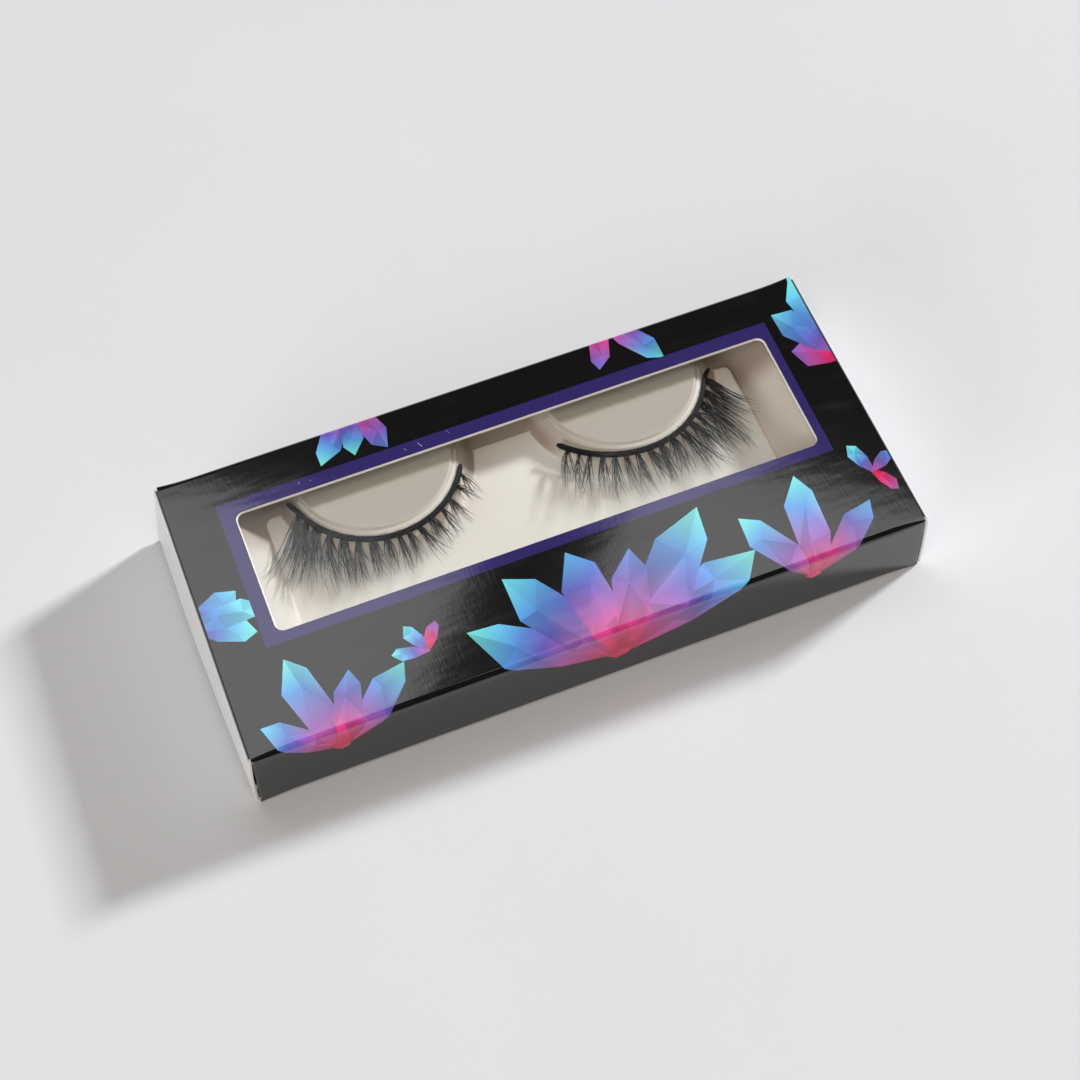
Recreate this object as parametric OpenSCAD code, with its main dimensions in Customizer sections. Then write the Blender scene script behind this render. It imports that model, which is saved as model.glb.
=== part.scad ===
// False eyelash case: a tuck-end carton of thin printed board with a window, and inside it a
// formed insert whose two half-moon mounts carry a pair of strip lashes.
// X runs along the carton from left to right, Y from front to back and Z up. The origin is the
// centre of the underside.

/* [Carton] */
// Length between the folds of the two ends
box_l = 110; // [104:1:120]
// Width from the front wall to the back wall
box_w = 50.6; // [50:0.2:54]
// Height
box_h = 14.5; // [14:0.1:16]
// Thickness of the board
board = 0.4; // [0.3:0.05:0.45]
// Outer radius of the long folds
fold_r = 0.7; // [0.6:0.05:1]

/* [Window] */
// Length of the window
window_l = 90.2; // [70:0.2:94]
// Width of the window
window_w = 22.4; // [16:0.2:24]
// Corner radius of the window
window_r = 1.5; // [0.5:0.1:4]
// How far the window's centre lies right of the middle
window_x = 0.4; // [-2:0.1:2]
// How far the window's centre lies behind the middle
window_y = 4.8; // [0:0.1:6]
// Thickness of the clear film
film_t = 0.15; // [0.1:0.05:0.2]
// Overlap that the film is glued by
film_lap = 3.6; // [2:0.2:4]

/* [Ends] */
// Outward lean of a closed end panel, in degrees
lean = 8; // [5:0.5:9]
// Length of a tuck flap
tuck_l = 8; // [6:0.5:8]
// Angle between an end panel and its tuck flap, in degrees
tuck_angle = 68; // [66:1:69]
// Length of a dust flap
dust_l = 20.5; // [14:0.5:22]
// Fall of a dust flap's upper edge per unit of its length
dust_fall = 0.32; // [0.3:0.01:0.4]
// Height of a dust flap's lower edge
dust_low = 2.4; // [2.3:0.1:3.5]
// Height of the glue flap inside the back wall
glue_flap_h = 9; // [6:0.5:11]

/* [Insert] */
// Thickness of the formed sheet
sheet = 0.4; // [0.3:0.05:0.5]
// Height of the rim
rim_z = 13.6; // [13:0.1:13.7]
// Height of the recess floor
floor_z = 8; // [6:0.1:9]
// Length of the recess floor
floor_l = 80.6; // [76:0.2:84]
// Width of the recess floor
floor_w = 34.4; // [30:0.2:35]
// How far the recess walls lean out between the floor and the rim
wall_run = 5.4; // [3:0.1:5.5]

/* [Lash mounts] */
// Distance of a mount's centre from the middle of the carton
mount_x = 21.2; // [20:0.1:22]
// Distance of a mount's centre behind the middle of the carton
mount_y = 19.8; // [19:0.1:20.5]
// Height of a mount's flat top
mount_z = 11.5; // [11:0.1:12]
// Radius of the flat top
mount_r = 13.1; // [12:0.1:13.5]
// Run of the mount's sloping wall
mount_run = 3; // [2.5:0.1:3.3]

/* [Lashes] */
// Width of a lash band along the mount's wall
band_w = 1; // [0.7:0.05:1.1]
// Thickness of a lash band
band_t = 0.3; // [0.2:0.05:0.4]
// Reach of the left band towards the middle and towards the end, in degrees
left_reach = [65, 75];
// Reach of the right band towards the middle and towards the end, in degrees
right_reach = [58, 74];
// How far the right band's inner end springs off the mount
spring_off = 1.4; // [0:0.1:1.5]
// Strands of one lash, in two rows
strands = 154; // [80:2:170]
// Thickness of a strand at its root
strand_d = 0.17; // [0.1:0.01:0.18]
// Length of the strands at the inner end
strand_short = 6.6; // [5:0.1:8]
// Length of the strands near the outer end
strand_long = 12.4; // [9:0.1:12.6]
// Number of pointed tufts that the strands gather in
tufts = 11; // [7:1:14]

/* [Hidden] */
$fn = 64;

black = [0.07, 0.07, 0.08];
cream = [0.93, 0.9, 0.85];
bare = [0.9, 0.9, 0.88];
clear = [0.85, 0.9, 0.95, 0.3];

// Gap at a fold that turns, and the gap between two loose layers of board
crease_gap = 0.02;
slip = 0.05;
fold_in = fold_r - board;
half_l = box_l / 2;
half_w = box_w / 2;
half_b = board / 2;

// An end panel turns about the middle of the board at the top panel's end
hinge_x = half_l - half_b;
hinge_z = box_h - half_b;
end_h = hinge_z - board - half_b - 0.3;
tuck_x = hinge_x + end_h * sin(lean);
tuck_z = hinge_z - end_h * cos(lean);
tuck_tilt = 90 - tuck_angle - lean;
end_w = box_w - board;
foot_gap = 0.33;
crease_w = box_w - 2 * fold_r - 0.2;
tuck_w = 45.4;
tuck_r = 4;

// A dust flap turns about the middle of the board at the end of a side wall
dust_x = hinge_x - board - slip;
dust_y = half_w - half_b;
dust_top = box_h - board - 0.3;
wall_end = dust_x - half_b - crease_gap;
top_end = hinge_x - half_b - crease_gap;

// The glue flap lies inside the back wall, so the insert sits a little forward
layers = half_w - board;
glue_fold_r = 0.6;
insert_y = -half_b;
insert_l = 107.4;
insert_w = box_w - 3 * board - 0.6;
insert_corner = 3;
draft = 0.4;
recess_corner = 1.5;
recess_l = floor_l / 2 - recess_corner;
recess_w = floor_w / 2 - recess_corner;
tuck_room = 4.2;

// The step under a mount's edge, and the slope that the bands lie on, as [radius, height]
step_top = [mount_r + 0.2, mount_z - 0.4];
step_foot = [mount_r + 0.75, mount_z - 0.6];
mount_foot = [mount_r + 0.75 + mount_run - 0.35, floor_z];
slope_run = mount_foot[0] - step_foot[0];
slope_fall = step_foot[1] - mount_foot[1];
slope_len = norm([slope_run, slope_fall]);
along = [slope_run / slope_len, -slope_fall / slope_len];
outward = [-along[1], along[0]];
adhesive_t = 0.12;
band_start = 0.25;
band_end = band_start + band_w;
slice_w = 0.2;
stations = 36;
// Share of the right band, from its inner end, that stands off the mount
lift_share = 0.44;

// Heights of the two rows of roots in the band, and the shares of a strand's length at which
// it has a ring of points
root_rise = [adhesive_t + 0.32 * band_t, adhesive_t + 0.62 * band_t];
row_gap = 0.36;
sag = 0.1;
curl = 0.026;
fan = 0.9;
drawn_in = 0.4;
stops = [0, 0.38, 0.72, 1];

// A rectangle with round corners, centred, made of true arcs
module round_rect(l, w, r) {
    square([l - 2 * r, w], center = true);
    square([l, w - 2 * r], center = true);
    for (x = [-1, 1], y = [-1, 1]) {
        translate([x * (l / 2 - r), y * (w / 2 - r)]) circle(r);
    }
}

// Cross-section of the folded carton, in Y and Z
module sleeve_section() {
    translate([0, box_h / 2]) difference() {
        round_rect(box_w, box_h, fold_r);
        round_rect(box_w - 2 * board, box_h - 2 * board, fold_in);
    }
}

// Draws a Y-Z section out along X, centred
module along_x(length) {
    rotate([90, 0, 90]) translate([0, 0, -length / 2]) linear_extrude(length) children();
}

// The part of the section that one wall has, up to the mitre of each fold
module wall_share(points) {
    intersection() {
        sleeve_section();
        polygon(points);
    }
}

module top_panel() {
    color(black) difference() {
        along_x(2 * top_end) wall_share([
            [-half_w, box_h], [half_w, box_h],
            [half_w - 2, box_h - 2], [2 - half_w, box_h - 2]
        ]);
        translate([window_x, window_y, box_h - 2])
            linear_extrude(4) round_rect(window_l, window_w, window_r);
    }
}

module front_panel() {
    color(black) along_x(2 * wall_end) wall_share([
        [-half_w, 0], [-half_w, box_h], [2 - half_w, box_h - 2], [2 - half_w, 2]
    ]);
}

// The back wall ends in a cut edge just above the surface that the carton stands on
module back_panel() {
    color(black) along_x(2 * wall_end) {
        wall_share([
            [half_w, box_h / 2], [half_w, box_h], [half_w - 2, box_h - 2],
            [half_w - 2, box_h / 2]
        ]);
        translate([layers, slip]) square([board, box_h / 2 - slip]);
    }
}

// The base turns up at the back into the glue flap
module base_panel() {
    color(black) along_x(2 * wall_end) {
        wall_share([[-half_w, 0], [0, 0], [0, 2], [2 - half_w, 2]]);
        square([layers - glue_fold_r, board]);
        translate([layers - glue_fold_r, glue_fold_r]) intersection() {
            difference() {
                circle(glue_fold_r);
                circle(glue_fold_r - board);
            }
            translate([0, -glue_fold_r]) square(glue_fold_r);
        }
    }
}

module glue_flap() {
    low = wall_end - 2;
    high = low - 3;
    color(bare) translate([0, layers, 0]) rotate([90, 0, 0]) linear_extrude(board) polygon([
        [-low, glue_fold_r], [low, glue_fold_r], [low, 2], [high, glue_flap_h],
        [-high, glue_flap_h], [-low, 2]
    ]);
}

// One end panel at the right end: it hangs from a round crease and carries another at its foot
module end_panel() {
    shoulder = fold_r;
    color(bare) translate([hinge_x, 0, hinge_z]) rotate([0, -lean, 0]) {
        rotate([90, 0, 0]) translate([0, 0, -crease_w / 2]) cylinder(h = crease_w, r = half_b);
        translate([half_b, 0, 0]) rotate([0, -90, 0]) linear_extrude(board) polygon([
            [0, -crease_w / 2], [0, crease_w / 2], [-shoulder, end_w / 2],
            [foot_gap - end_h, end_w / 2], [foot_gap - end_h, -end_w / 2],
            [-shoulder, -end_w / 2]
        ]);
    }
}

// One tuck flap at the right end, with its far corners rounded to slide in
module tuck_flap() {
    color(bare) translate([tuck_x, 0, tuck_z]) rotate([0, tuck_tilt, 0]) {
        rotate([90, 0, 0]) translate([0, 0, -tuck_w / 2]) cylinder(h = tuck_w, r = half_b);
        translate([0, 0, -half_b]) linear_extrude(board) {
            translate([-tuck_l / 2, 0]) square([tuck_l, tuck_w - 2 * tuck_r], center = true);
            translate([tuck_r - tuck_l, 0, 0]) {
                translate([0, -tuck_w / 2]) square([tuck_l - tuck_r, tuck_w]);
                for (y = [-1, 1]) {
                    translate([0, y * (tuck_w / 2 - tuck_r)]) circle(tuck_r);
                }
            }
        }
    }
}

// One dust flap at the front of the right end, folded in behind the end panel
module dust_flap() {
    nose = 2.5;
    tip_top = dust_top - dust_fall * dust_l;
    color(black) translate([dust_x, -dust_y, 0]) {
        translate([0, 0, dust_low]) cylinder(h = dust_top - dust_low, r = half_b);
        translate([-half_b, 0, 0]) rotate([90, 0, 90]) linear_extrude(board) {
            polygon([
                [0, dust_low], [dust_l - nose, dust_low], [dust_l, dust_low + nose],
                [dust_l, tip_top], [0, dust_top]
            ]);
        }
    }
}

module window_film() {
    color(clear) translate([window_x, window_y, box_h - board - film_t]) linear_extrude(film_t)
        round_rect(window_l + 2 * film_lap, window_w + 2 * film_lap, 1);
}

// Joins a list of [height, corner radius] levels round four fixed corners, as formed sheet rises
module stack(corner_x, corner_y, levels) {
    for (i = [0 : len(levels) - 2]) {
        low = levels[i];
        high = levels[i + 1];
        hull() {
            for (x = [-1, 1], y = [-1, 1]) {
                translate([x * corner_x, y * corner_y, low[0]])
                    cylinder(h = high[0] - low[0], r1 = low[1], r2 = high[1], $fn = 32);
            }
        }
    }
}

// The block that the sheet is drawn over, made smaller by d
module block(d) {
    foot = d > 0 ? board - 1 : board;
    r = insert_corner - d;
    top = rim_z - d;
    translate([0, insert_y, 0])
        stack(insert_l / 2 - insert_corner, insert_w / 2 - insert_corner, [
            [foot, r], [top - 0.7, r - draft], [top - 0.2, r - draft - 0.15],
            [top, r - draft - 0.5]
        ]);
}

// The space that the recess takes out of the block, made larger by d
module recess(d) {
    r = recess_corner + 0.41 * d;
    z = floor_z - d;
    top = rim_z - d;
    translate([0, insert_y, 0]) stack(recess_l, recess_w, [
        [z, r - 0.6], [z + 0.15, r - 0.1], [z + 0.5, r + 0.5],
        [top - 0.4, r + wall_run - 0.4], [top - 0.1, r + wall_run],
        [top, r + wall_run + 0.35], [top + 2, r + wall_run + 0.35]
    ]);
}

// The two half-moon mounts, made smaller by d
module mounts(d) {
    s = 0.41 * d;
    for (side = [-1, 1]) {
        translate([side * mount_x, mount_y, 0]) rotate_extrude($fn = 96) polygon([
            [0, floor_z - d - 1], [mount_foot[0] + 0.9 - s, floor_z - d - 1],
            [mount_foot[0] + 0.35 - s, floor_z - d + 0.02],
            [mount_foot[0] - 0.15 - s, floor_z - d + 0.17],
            [step_foot[0] - s, step_foot[1] - d], [step_top[0] - s, step_top[1] - d],
            [mount_r - s, mount_z - d - 0.1], [mount_r - 0.25 - s, mount_z - d],
            [0, mount_z - d]
        ]);
    }
}

module formed(d) {
    difference() {
        block(d);
        difference() {
            recess(d);
            mounts(d);
        }
    }
}

// The sheet lies between the formed block and the same form one thickness smaller. Its end
// walls stop above the tuck flaps.
module insert() {
    color(cream) difference() {
        formed(0);
        formed(sheet);
        for (side = [-1, 1]) {
            translate([side * insert_l / 2, 0, tuck_room / 2])
                cube([14, insert_w - 2 * sheet - 1, tuck_room], center = true);
        }
    }
}

// A point at an angle from straight ahead of the right mount, counted towards the carton's end
function place(angle, r) = [mount_x + r * sin(angle), mount_y - r * cos(angle)];
function between(a, b, u) = a + (b - a) * u;
function smooth(x) = let (t = min(1, max(0, x))) t * t * (3 - 2 * t);
function band_angle(reach, u) = between(-reach[0], reach[1], u);
function lift(off, u) = off * pow(max(0, 1 - u / lift_share), 2);

// A point beside the mount's wall, p down its slope and q off it
function beside_wall(reach, off, u, p, q) =
    let (r = step_foot[0] + lift(off, u) + p * along[0] + q * outward[0])
    concat(place(band_angle(reach, u), r), step_foot[1] + p * along[1] + q * outward[1]);

// Four corners of a strip's section, which runs from a to b down the slope
function section(reach, off, u, a, b, low, high) = [
    beside_wall(reach, off, u, a, low), beside_wall(reach, off, u, a, high),
    beside_wall(reach, off, u, b, high), beside_wall(reach, off, u, b, low)
];

// Faces of one side of a strip of sections, whose edge j lies between corners j and j + 1
function side_faces(n, j) = [for (k = [0 : n - 1]) each [
    [4 * k + (j + 1) % 4, 4 * k + j, 4 * (k + 1) + j],
    [4 * k + (j + 1) % 4, 4 * (k + 1) + j, 4 * (k + 1) + (j + 1) % 4]
]];
function end_faces(n) = [[0, 1, 2, 3], [4 * n + 3, 4 * n + 2, 4 * n + 1, 4 * n]];

// A strip that lies along the right mount's wall, from one of its stations to the outer end
module strip(reach, off, first, a, b, low, high) {
    n = stations - first;
    polyhedron(
        points = [for (k = [first : stations])
            each section(reach, off, k / stations, a, b, low, high)],
        faces = concat(end_faces(n), [for (j = [0 : 3]) each side_faces(n, j)]),
        convexity = 6
    );
}

module lash_adhesive(reach, off) {
    first = off > 0 ? ceil(lift_share * stations) : 0;
    color(clear)
        strip(reach, 0, first, band_start + 0.1, band_start + band_w - 0.1, 0.01, adhesive_t);
}

module lash_band(reach, off) {
    color(black)
        strip(reach, off, 0, band_start, band_start + band_w, adhesive_t, adhesive_t + band_t);
}

// Length of a strand: longest near the outer end of the lash and in the middle of its tuft
function strand_len(u, row) =
    let (
        place_in_tuft = u * tufts - floor(u * tufts),
        peak = 1 - pow(2 * place_in_tuft - 1, 2),
        outer = 1 - 0.3 * smooth((u - 0.85) * 6)
    )
    between(strand_short, strand_long, smooth(u * 1.25)) * outer
    * (0.74 + 0.26 * peak) * (1 - 0.1 * row);

// Angle at which a strand ends: each tuft draws its strands together, and the whole fan is a
// little narrower than the band's
function tip_angle(reach, u) =
    let (middle = (floor(u * tufts) + 0.5) / tufts)
    fan * band_angle(reach, between(middle, u, drawn_in));

// A point on a strand, at a share s of its length. It leaves the wall's slope, sags a little
// and curls up, and the upper row lies over the lower one.
function strand_point(reach, off, u, row, s) =
    let (
        travel = s * strand_len(u, row),
        root = beside_wall(reach, off, u, band_end + slice_w, root_rise[row]),
        r = norm([root[0] - mount_x, root[1] - mount_y]) + travel,
        z = root[2] + row * row_gap * smooth(travel / 1.5) - sag * travel
            + curl * travel * travel
    )
    concat(place(between(band_angle(reach, u), tip_angle(reach, u), s), r), z);

// Three points round a strand at p, square to its run towards q
function ring(p, q, d) =
    let (
        run = (q - p) / norm(q - p),
        side = cross(run, [0, 0, 1]) / norm(cross(run, [0, 0, 1])),
        up = cross(side, run)
    )
    [for (k = [0 : 2]) p + d / 2 * (cos(120 * k - 30) * side + sin(120 * k - 30) * up)];

// Three points in the face that a strand grows out of
function root_ring(reach, off, j) =
    let (u = (j + 0.5) / strands, row = j % 2, du = 0.3 / strands, h = strand_d / 2)
    [for (k = [0 : 2]) beside_wall(reach, off, u + (k - 1) * du, band_end + slice_w,
                                   root_rise[row] + (k == 1 ? h : -h / 2))];

function strand_points(reach, off, j) =
    let (u = (j + 0.5) / strands, row = j % 2)
    concat(
        root_ring(reach, off, j),
        [for (i = [1 : len(stops) - 2]) each ring(
            strand_point(reach, off, u, row, stops[i]),
            strand_point(reach, off, u, row, stops[i + 1]), strand_d * (1 - 0.75 * stops[i]))],
        [strand_point(reach, off, u, row, 1)]
    );

// Faces of one strand whose first point is o
function strand_faces(o) =
    let (n = len(stops) - 2, tip = o + 3 * n + 3)
    concat(
        [for (i = [0 : n - 1], k = [0 : 2]) each
            let (a = o + 3 * i + k, b = o + 3 * i + (k + 1) % 3)
            [[a, b, b + 3], [a, b + 3, a + 3]]],
        [for (k = [0 : 2]) [o + 3 * n + k, o + 3 * n + (k + 1) % 3, tip]]
    );

// The slice's outer face between sections k and k + 1, round the strand whose first point is o
function root_faces(k, o) =
    let (bl = 4 * k + 3, tl = 4 * k + 2, tr = 4 * k + 6, br = 4 * k + 7)
    [
        [bl, tl, o], [tl, o + 1, o], [tl, tr, o + 1], [tr, o + 2, o + 1],
        [tr, br, o + 2], [br, o, o + 2], [br, bl, o]
    ];

// The strands grow out of a slice of the band, as one closed surface
module lash_hairs(reach, off) {
    n = strands;
    per_strand = 3 * (len(stops) - 1) + 1;
    first = 4 * (n + 1);
    color(black) polyhedron(
        points = concat(
            [for (k = [0 : n]) each section(reach, off, k / n, band_end, band_end + slice_w,
                                            adhesive_t, adhesive_t + band_t)],
            [for (j = [0 : n - 1]) each strand_points(reach, off, j)]
        ),
        faces = concat(
            end_faces(n),
            [for (j = [0, 1, 3]) each side_faces(n, j)],
            [for (j = [0 : n - 1]) each root_faces(j, first + j * per_strand)],
            [for (j = [0 : n - 1]) each strand_faces(first + j * per_strand)]
        ),
        convexity = 10
    );
}

module left_end_panel() { mirror([1, 0, 0]) end_panel(); }
module right_end_panel() { end_panel(); }
module left_tuck_flap() { mirror([1, 0, 0]) tuck_flap(); }
module right_tuck_flap() { tuck_flap(); }
module front_right_dust_flap() { dust_flap(); }
module back_right_dust_flap() { mirror([0, 1, 0]) dust_flap(); }
module front_left_dust_flap() { mirror([1, 0, 0]) dust_flap(); }
module back_left_dust_flap() { mirror([1, 0, 0]) mirror([0, 1, 0]) dust_flap(); }
module left_lash_adhesive() { mirror([1, 0, 0]) lash_adhesive(left_reach, 0); }
module left_lash_band() { mirror([1, 0, 0]) lash_band(left_reach, 0); }
module left_lash_hairs() { mirror([1, 0, 0]) lash_hairs(left_reach, 0); }
module right_lash_adhesive() { lash_adhesive(right_reach, spring_off); }
module right_lash_band() { lash_band(right_reach, spring_off); }
module right_lash_hairs() { lash_hairs(right_reach, spring_off); }

top_panel();
front_panel();
base_panel();
back_panel();
glue_flap();
left_end_panel();
left_tuck_flap();
right_end_panel();
right_tuck_flap();
front_left_dust_flap();
back_left_dust_flap();
front_right_dust_flap();
back_right_dust_flap();
window_film();
insert();
left_lash_adhesive();
left_lash_band();
left_lash_hairs();
right_lash_adhesive();
right_lash_band();
right_lash_hairs();
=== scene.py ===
# %% [markdown]
# # A false eyelash case, dressed around its CAD frame
#
# The case is a flat carton of thin board, printed gloss black, with a long window of clear film.
# Under the film lies a formed insert, and on its two half-moon mounts sits a pair of strip lashes.
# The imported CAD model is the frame: it gives every place and every joint. This lesson builds the
# pieces that are seen around it, each on the body that carries it.

# %% Load the frame
import math

import bpy
import numpy as np
from mathutils import Matrix, Vector
from mathutils.geometry import delaunay_2d_cdt


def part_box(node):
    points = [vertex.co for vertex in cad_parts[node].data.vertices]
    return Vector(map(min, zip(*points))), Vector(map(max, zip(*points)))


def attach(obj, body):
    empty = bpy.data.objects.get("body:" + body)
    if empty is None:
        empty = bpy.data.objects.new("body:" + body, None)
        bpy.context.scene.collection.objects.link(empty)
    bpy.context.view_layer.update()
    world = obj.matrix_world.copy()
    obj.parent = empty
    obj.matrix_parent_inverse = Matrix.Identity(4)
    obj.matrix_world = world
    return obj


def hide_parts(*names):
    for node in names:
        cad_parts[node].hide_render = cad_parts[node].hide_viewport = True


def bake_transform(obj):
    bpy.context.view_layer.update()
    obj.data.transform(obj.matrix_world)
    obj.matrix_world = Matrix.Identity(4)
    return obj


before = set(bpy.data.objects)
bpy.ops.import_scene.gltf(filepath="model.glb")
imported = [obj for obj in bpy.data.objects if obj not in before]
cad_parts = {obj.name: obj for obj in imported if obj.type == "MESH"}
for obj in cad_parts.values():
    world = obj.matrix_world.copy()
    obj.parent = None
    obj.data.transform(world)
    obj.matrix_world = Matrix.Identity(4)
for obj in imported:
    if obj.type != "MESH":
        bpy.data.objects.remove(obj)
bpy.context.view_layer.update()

MM = 0.001
chance = np.random.default_rng(11)

# %% [markdown]
# ## The carton's sizes
# The panels of a carton are one sheet of board, so most sizes follow from a few: the thickness, the
# outside of the sleeve and the radius of its folds. They repeat the CAD source's values, in
# millimetres, because this script reads nothing but the frame.

# %% Sizes of the carton
BOARD = 0.4
HALF_W = 25.3
HEIGHT = 14.5
FOLD_R = 1.0
GLUE_FOLD_R = 0.6
WALL_END = (54.3, 54.75)      # at the top and at the foot of a wall
TOP_END = 54.54
WINDOW = (90.2, 22.4, 1.5)    # length, width and corner radius
WINDOW_AT = (0.4, 4.8)        # its middle
LEAN = math.radians(8)        # of an end panel, from upright

# %% [markdown]
# ## Shader maths as plain expressions
# Materials are made of nodes. Wiring each by hand is slow to read, so one small class wraps an
# output socket: adding or multiplying two of them adds the Math node that does it. Every other
# node comes from one method, node(), which takes its type, its settings and its socket values.

# %% The socket wrapper
class Wire:
    """An output socket of a material's nodes, with arithmetic."""

    def __init__(self, tree, socket):
        self.tree, self.socket = tree, socket

    def node(self, kind, settings=None, out=0, **values):
        """Any node: its type, its settings, the output to go on from, and its sockets' values or
        links, by name or, as i0, i1 and so on, by number."""
        made = self.tree.nodes.new("ShaderNode" + kind)
        for name, value in (settings or {}).items():
            setattr(made, name, value)
        for name, value in values.items():
            key = int(name[1:]) if name[1:].isdigit() else name.replace("_", " ")
            if isinstance(value, Wire):
                self.tree.links.new(value.socket, made.inputs[key])
            else:
                made.inputs[key].default_value = value
        return Wire(self.tree, made.outputs[out])

    def maths(self, operation, *others):
        """A Math node that starts from this number."""
        inputs = {f"i{k}": v for k, v in enumerate([self, *others])}
        return self.node("Math", {"operation": operation}, **inputs)

    def __add__(self, other): return self.maths("ADD", other)
    def __sub__(self, other): return self.maths("SUBTRACT", other)
    def __mul__(self, other): return self.maths("MULTIPLY", other)
    def __rsub__(self, other):
        return self.node("Math", {"operation": "SUBTRACT"}, i0=other, i1=self)

    __radd__, __rmul__ = __add__, __mul__

    def step(self, low, high):
        """0 below low and 1 above high, with a soft turn between."""
        return self.node("MapRange", {"interpolation_type": "SMOOTHSTEP"},
                         Value=self, From_Min=low, From_Max=high)

    def blend(self, first, second):
        """The first colour where this is 0 and the second where it is 1."""
        return self.node("Mix", {"data_type": "RGBA"}, out=2, i0=self, i6=first, i7=second)

# %% [markdown]
# A material starts from the piece's own coordinates in millimetres, so that a grain of 0.1 is a
# tenth of a millimetre on the object. The last step ties the results to one Principled shader.

# %% Starting and ending a material
def start(name):
    """A new material, and the place on the piece in millimetres."""
    material = bpy.data.materials.new(name)
    material.use_nodes = True
    material.node_tree.nodes.clear()
    first = material.node_tree.nodes.new("ShaderNodeTexCoord")
    wire = Wire(material.node_tree, first.outputs["Object"])
    place = wire.node("VectorMath", {"operation": "SCALE"}, i0=wire, Scale=1 / MM)
    return material, place


def noise(place, size, detail=2.0, rough=0.5):
    """Noise from 0 to 1. Its blots are about size millimetres across, or have a size for each of
    X, Y and Z."""
    if isinstance(size, tuple):
        place = place.node("VectorMath", {"operation": "MULTIPLY"}, i0=place,
                           i1=tuple(1 / length for length in size))
        size = 1.0
    return place.node("TexNoise", Vector=place, Scale=1 / size, Detail=detail, Roughness=rough)


def bump(height, depth):
    """The normal of a relief that is depth millimetres deep where height goes from 0 to 1."""
    return height.node("Bump", Strength=1.0, Distance=depth * MM, Height=height)


def end(material, shader):
    """Puts the shader on the material's surface."""
    output = material.node_tree.nodes.new("ShaderNodeOutputMaterial")
    material.node_tree.links.new(shader.socket, output.inputs["Surface"])
    return material

# %% [markdown]
# ## The camera
# The photograph looks down at about 60 degrees from the carton's front left. The camera's place
# and lens were found from the carton's corners, so the render can be laid over the photograph.

# %% Camera
# right, up and toward are the camera's own X, Y and Z.
camera_data = bpy.data.cameras.new("camera")
camera_data.sensor_width, camera_data.lens = 36.0, 68.37
camera_data.clip_start, camera_data.clip_end = 0.01, 10.0
camera = bpy.data.objects.new("camera", camera_data)
bpy.context.scene.collection.objects.link(camera)
right = Vector((0.93151, -0.36322, -0.01913))
up = Vector((0.32490, 0.80727, 0.49271))
toward = right.cross(up)
axes = Matrix((right, up, toward)).transposed()
camera.matrix_world = Matrix.Translation((-0.05376, -0.15338, 0.28978)) @ axes.to_4x4()
bpy.context.scene.camera = camera
bpy.context.scene.view_settings.view_transform = "Standard"
print("camera is", round(camera.location.length, 3), "m from the carton's foot")

# %% [markdown]
# ## Table and light
# A small studio: a pale table, a soft key lamp low on the right that throws the carton's shadow to
# the left, and two overhead softboxes. Gloss print shows nothing but what it reflects, so the
# softboxes are placed where their mirror image falls on the left and the front of the top panel.
# A fill lamp lifts the shaded left end and a warm overhead lamp the inside of the insert. Neither
# is mirrored, so the print shows only the softboxes and the key.

# %% Table
def pale_table():
    material, place = start("pale_table")
    mottle = noise(place, 60, 3.0)
    colour = mottle.blend((0.73, 0.75, 0.79, 1.0), (0.78, 0.80, 0.84, 1.0))
    grain = noise(place, 0.6, 4.0)
    shader = place.node("BsdfPrincipled", Base_Color=colour, Roughness=0.62 + 0.1 * mottle,
                        Normal=bump(grain, 0.02))
    return end(material, shader)


def flat_sheet(name, half, z):
    mesh = bpy.data.meshes.new(name)
    mesh.from_pydata([(-half, -half, z), (half, -half, z), (half, half, z), (-half, half, z)],
                     [], [(0, 1, 2, 3)])
    sheet = bpy.data.objects.new(name, mesh)
    bpy.context.scene.collection.objects.link(sheet)
    return sheet


table = flat_sheet("table", 0.95, -0.00002)
table.data.materials.append(pale_table())

# %% Lamps
def soft_lamp(name, at, facing, along, size, radiance, tint=(1, 1, 1), mirrored=True):
    """A rectangular lamp at a point, facing a direction, with its longer side along another."""
    data = bpy.data.lights.new(name, "AREA")
    data.shape, (data.size, data.size_y) = "RECTANGLE", size
    data.energy = radiance * math.pi * size[0] * size[1]
    lamp = bpy.data.objects.new(name, data)
    bpy.context.scene.collection.objects.link(lamp)
    back = -Vector(facing).normalized()
    side = (Vector(along) - back * back.dot(Vector(along))).normalized()
    turned = Matrix((side, back.cross(side), back)).transposed()
    lamp.matrix_world = Matrix.Translation(at) @ turned.to_4x4()
    data.color = tint
    lamp.visible_camera, lamp.visible_glossy = False, mirrored
    return lamp


key_from = Vector((2.1, 0.6, 1.05)).normalized()
soft_lamp("key", key_from * 4.5, -key_from, (0, 1, 0), (0.53, 0.53), 250.0, (0.98, 0.99, 1.0))
fill_from = Vector((-0.85, -0.45, 0.24)).normalized()
soft_lamp("fill", fill_from * 1.6, -fill_from, (0.45, -0.85, 0), (0.9, 0.7), 6.9,
          mirrored=False)
soft_lamp("overhead", (-0.2, -0.35, 1.2), (0.15, 0.25, -1), (1, 0, 0), (0.9, 0.6), 2.8,
          tint=(1, 0.9, 0.78), mirrored=False)

# %% Softboxes
BOX = (0.6, 0.36)
along_box = Vector((0.7716, -0.6361, 0))
toward_front = Vector((-0.6361, -0.7716, 0))
for name, corner, way, radiance in (("softbox_left", Vector((0.135, 0.521, 1.0)), -1, 1.5),
                                    ("softbox_right", Vector((0.286, 0.573, 1.0)), 1, 1.45)):
    centre = corner + along_box * (BOX[0] / 2 * way) + toward_front * (BOX[1] / 2)
    soft_lamp(name, centre, (0, 0, -1), along_box, BOX, radiance)

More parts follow.
